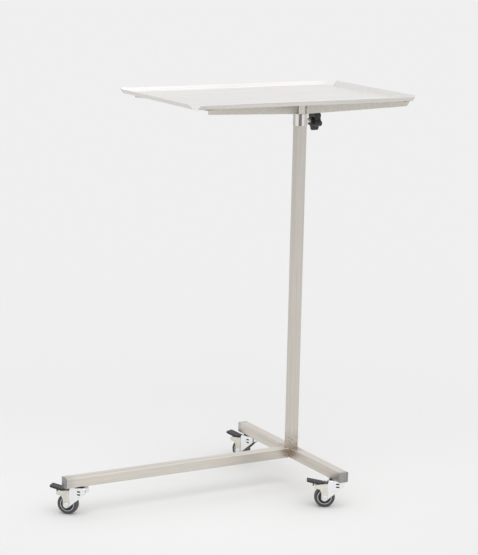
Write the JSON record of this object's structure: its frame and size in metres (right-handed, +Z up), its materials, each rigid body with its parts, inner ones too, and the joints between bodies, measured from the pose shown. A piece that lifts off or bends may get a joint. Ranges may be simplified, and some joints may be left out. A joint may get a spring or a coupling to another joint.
{
  "type": "overbed table",
  "caption": "Wheeled T-base with an upright telescopic column and a shallow lift-off tray cantilevered over the leg; star-knob height clamp and braked swivel casters.",
  "frame": {"origin": "on the floor, under the middle of the overall box with the tray at its lowest", "axes": "+Z up, the leg points to -X from the column, the crossbar lies along Y"},
  "size_m": [0.8442, 0.5223, 0.9775],
  "materials": {
    "satin_tube": "satin, grain along the tube",
    "ground_steel": "ground across, darker",
    "polished_collar": "polished",
    "liner_plastic": "moulded",
    "weld_steel": "brushed weld, faint heat tint",
    "bright_zinc": "bright zinc",
    "black_plastic": "moulded",
    "pad_rubber": "matt",
    "tray_steel": "satin sheet",
    "pad_brass": "turned",
    "knob_plastic": "fine texture",
    "rib_steel": "satin sheet",
    "fork_zinc": "bright zinc",
    "ball_steel": "polished",
    "bracket_steel": "pale yellow passivated zinc",
    "tyre_rubber": "matt grey",
    "rim_plastic": "moulded",
    "pedal_plastic": "moulded",
    "spring_black": "blackened spring steel"
  },
  "bodies": {
    "frame": {"crossbar": "satin_tube", "leg": "satin_tube", "end_plates": "ground_steel", "column": "satin_tube", "column_collar": "polished_collar", "clamp_boss": "polished_collar", "guide_bush": "liner_plastic", "weld_beads": "weld_steel", "caster_stems": "bright_zinc", "stem_nuts": "bright_zinc", "dust_washers": "black_plastic"},
    "upper_column": {"inner_column": "satin_tube", "foot_guide": "liner_plastic", "near_left_rib": "rib_steel", "far_left_rib": "rib_steel", "near_right_rib": "rib_steel", "far_right_rib": "rib_steel", "tray_pads": "pad_rubber"},
    "tray": {"tray": "tray_steel"},
    "clamp_pad": {"clamp_pad": "pad_brass"},
    "knob": {"star_knob": "knob_plastic", "clamp_screw": "bright_zinc"},
    "left_swivel": {"left_fork": "fork_zinc", "left_lock_tabs": "spring_black", "left_bearing_balls": "ball_steel", "left_brake_bracket": "bracket_steel", "left_axle": "bright_zinc", "left_axle_nut": "bright_zinc", "left_pedal_pin": "bright_zinc"},
    "left_wheel": {"left_tyre": "tyre_rubber", "left_rim": "rim_plastic", "left_hub_covers": "black_plastic"},
    "left_pedal": {"left_pedal": "pedal_plastic", "left_brake_shoe": "bright_zinc"},
    "near_swivel": {"near_fork": "fork_zinc", "near_lock_tabs": "spring_black", "near_bearing_balls": "ball_steel", "near_brake_bracket": "bracket_steel", "near_axle": "bright_zinc", "near_axle_nut": "bright_zinc", "near_pedal_pin": "bright_zinc"},
    "near_wheel": {"near_tyre": "tyre_rubber", "near_rim": "rim_plastic", "near_hub_covers": "black_plastic"},
    "near_pedal": {"near_pedal": "pedal_plastic", "near_brake_shoe": "bright_zinc"},
    "far_swivel": {"far_fork": "fork_zinc", "far_lock_tabs": "spring_black", "far_bearing_balls": "ball_steel", "far_brake_bracket": "bracket_steel", "far_axle": "bright_zinc", "far_axle_nut": "bright_zinc", "far_pedal_pin": "bright_zinc"},
    "far_wheel": {"far_tyre": "tyre_rubber", "far_rim": "rim_plastic", "far_hub_covers": "black_plastic"},
    "far_pedal": {"far_pedal": "pedal_plastic", "far_brake_shoe": "bright_zinc"}
  },
  "joints": [
    {"name": "column_slide", "type": "slide", "parent": "frame", "child": "upper_column", "axis": [0, 0, 1], "range_m": [0, 0.35]},
    {"name": "tray_lift", "type": "slide", "parent": "upper_column", "child": "tray", "axis": [0, 0, 1], "range_m": [0, 0.1]},
    {"name": "pad_travel", "type": "slide", "parent": "frame", "child": "clamp_pad", "axis": [1, 0, 0], "range_m": [0, 0.00252]},
    {"name": "knob_turn", "type": "hinge", "parent": "clamp_pad", "child": "knob", "pos_m": [0.2411, -0.0152, 0.904], "axis": [1, 0, 0], "range_deg": [0, 720]},
    {"name": "left_swivel_turn", "type": "hinge", "parent": "frame", "child": "left_swivel", "pos_m": [-0.3669, -0.0152, 0.065], "axis": [0, 0, 1], "continuous": true},
    {"name": "left_wheel_spin", "type": "hinge", "parent": "left_swivel", "child": "left_wheel", "pos_m": [-0.38458, 0.00248, 0.025], "axis": [0.7071, 0.7071, 0], "continuous": true},
    {"name": "left_pedal_press", "type": "hinge", "parent": "left_swivel", "child": "left_pedal", "pos_m": [-0.38599, 0.00389, 0.0555], "axis": [0.7071, 0.7071, 0], "range_deg": [-14, 0]},
    {"name": "near_swivel_turn", "type": "hinge", "parent": "frame", "child": "near_swivel", "pos_m": [0.2111, -0.2247, 0.065], "axis": [0, 0, 1], "continuous": true},
    {"name": "near_wheel_spin", "type": "hinge", "parent": "near_swivel", "child": "near_wheel", "pos_m": [0.18945, -0.2122, 0.025], "axis": [0.5, 0.866, 0], "continuous": true},
    {"name": "near_pedal_press", "type": "hinge", "parent": "near_swivel", "child": "near_pedal", "pos_m": [0.18772, -0.2112, 0.0555], "axis": [0.5, 0.866, 0], "range_deg": [-14, 0]},
    {"name": "far_swivel_turn", "type": "hinge", "parent": "frame", "child": "far_swivel", "pos_m": [0.2111, 0.1943, 0.065], "axis": [0, 0, 1], "continuous": true},
    {"name": "far_wheel_spin", "type": "hinge", "parent": "far_swivel", "child": "far_wheel", "pos_m": [0.20173, 0.21748, 0.025], "axis": [0.9272, 0.3746, 0], "continuous": true},
    {"name": "far_pedal_press", "type": "hinge", "parent": "far_swivel", "child": "far_pedal", "pos_m": [0.20099, 0.21933, 0.0555], "axis": [0.9272, 0.3746, 0], "range_deg": [-14, 0]}
  ],
  "couplings": [
    {"joint": "pad_travel", "follows": "knob_turn", "m_per_rad": 0.00019894}
  ]
}
